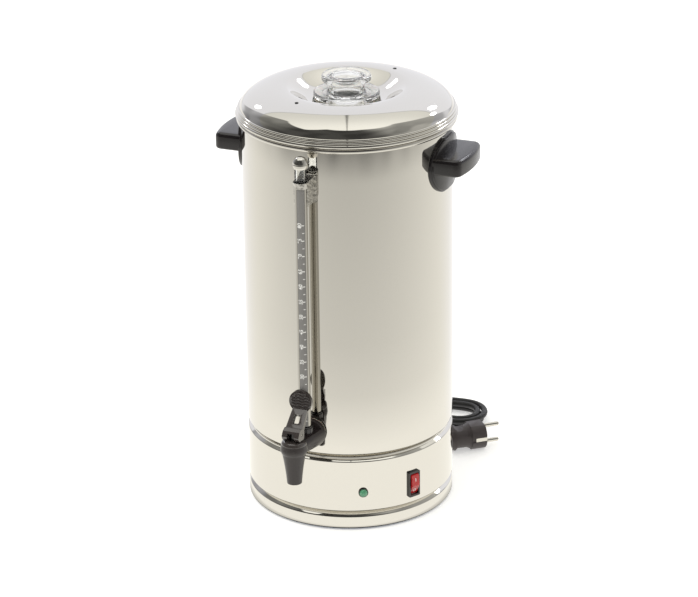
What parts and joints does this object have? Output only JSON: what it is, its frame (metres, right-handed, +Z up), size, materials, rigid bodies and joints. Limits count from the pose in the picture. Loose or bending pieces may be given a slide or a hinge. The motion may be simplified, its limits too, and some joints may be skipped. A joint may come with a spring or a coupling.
{
  "type": "coffee urn",
  "caption": "Tall round steel coffee urn with a domed lid and clear knob, side handles, a front pull tap with a sight gauge, and a rocker switch and lamp in its base.",
  "frame": {"origin": "on the urn's vertical axis, in the plane that its feet stand on", "axes": "+Z up, tap toward -Y, handles along X"},
  "size_m": [0.28, 0.4033, 0.4709],
  "materials": {
    "polished_steel": "mirror-polished stainless steel sheet",
    "plain_steel": "satin stainless steel",
    "cast_aluminium": "as cast",
    "heater_sheath": "oxidised steel sheath",
    "nickel_brass": "nickel plated",
    "black_plastic": "moulded, slightly glossy",
    "spout_plastic": "moulded, matte",
    "ceramic": "unglazed ceramic",
    "bakelite": "moulded phenolic",
    "red_plastic": "translucent red",
    "green_lens": "translucent green",
    "foot_rubber": "moulded",
    "silicone": "translucent white silicone",
    "clear_knob": "clear moulding",
    "clear_tube": "clear tube",
    "scale_film": "printed film",
    "cord_rubber": "cord sheath",
    "tie_plastic": "white strap"
  },
  "bodies": {
    "urn": {"tank_shell": "polished_steel", "base_skirt": "polished_steel", "bottom_pan": "polished_steel", "gauge_cap": "polished_steel", "gauge_clip": "polished_steel", "gauge_backing": "polished_steel", "tank_floor": "plain_steel", "base_posts": "plain_steel", "base_screws": "plain_steel", "handle_screws": "plain_steel", "tap_nut": "plain_steel", "clip_screw": "plain_steel", "heater_plate": "cast_aluminium", "main_heater": "heater_sheath", "keep_warm_heater": "heater_sheath", "plug_pins": "nickel_brass", "plug_contacts": "nickel_brass", "switch_housing": "black_plastic", "pilot_holder": "black_plastic", "left_handle": "black_plastic", "right_handle": "black_plastic", "tap_bonnet": "black_plastic", "gauge_gland_nut": "black_plastic", "cord_gland": "black_plastic", "plug_body": "black_plastic", "tap_body": "spout_plastic", "thermal_cutout": "ceramic", "terminal_block": "ceramic", "thermostat": "bakelite", "pilot_lens": "green_lens", "rubber_feet": "foot_rubber", "handle_washers": "silicone", "seat_cup": "silicone", "tap_inner_washer": "silicone", "tap_outer_washer": "silicone", "gauge_seal": "silicone", "gauge_tube": "clear_tube", "gauge_scale": "scale_film", "cord_lead": "cord_rubber", "cord_hank": "cord_rubber", "cord_tail": "cord_rubber", "hank_tie": "tie_plastic"},
    "pump": {"pump_tube": "plain_steel", "pump_base": "plain_steel", "pump_washer": "plain_steel"},
    "basket": {"coffee_basket": "plain_steel", "basket_strainer": "plain_steel"},
    "spreader": {"basket_spreader": "plain_steel"},
    "lid": {"lid_shell": "polished_steel", "lid_ring": "plain_steel", "knob_gasket": "silicone"},
    "knob": {"lid_knob": "clear_knob"},
    "stem": {"valve_stem": "black_plastic", "lever_pin": "plain_steel"},
    "lever": {"tap_lever": "black_plastic"},
    "rocker": {"switch_rocker": "red_plastic"}
  },
  "joints": [
    {"name": "pump_lift", "type": "slide", "parent": "urn", "child": "pump", "axis": [0, 0, 1], "range_m": [0, 0.36]},
    {"name": "basket_lift", "type": "slide", "parent": "pump", "child": "basket", "axis": [0, 0, 1], "range_m": [0, 0.15]},
    {"name": "spreader_lift", "type": "slide", "parent": "basket", "child": "spreader", "axis": [0, 0, 1], "range_m": [0, 0.05]},
    {"name": "lid_lift", "type": "slide", "parent": "spreader", "child": "lid", "axis": [0, 0, 1], "range_m": [0, 0.15]},
    {"name": "knob_turn", "type": "hinge", "parent": "lid", "child": "knob", "pos_m": [0, 0, 0.46], "axis": [0, 0, 1], "range_deg": [0, 90]},
    {"name": "valve_lift", "type": "slide", "parent": "urn", "child": "stem", "axis": [0, 0, 1], "range_m": [0, 0.0035], "deforming": ["seat_cup"]},
    {"name": "lever_pull", "type": "hinge", "parent": "stem", "child": "lever", "pos_m": [0, -0.16, 0.131], "axis": [1, 0, 0], "range_deg": [0, 75], "stiffness_Nm_per_rad": 0.3},
    {"name": "rocker_press", "type": "hinge", "parent": "urn", "child": "rocker", "pos_m": [0.09221, -0.05717, 0.0438], "axis": [-0.527, -0.8499, 0], "range_deg": [0, 20]}
  ],
  "couplings": [
    {"joint": "valve_lift", "follows": "lever_pull", "m_per_rad": 0.0026735}
  ]
}
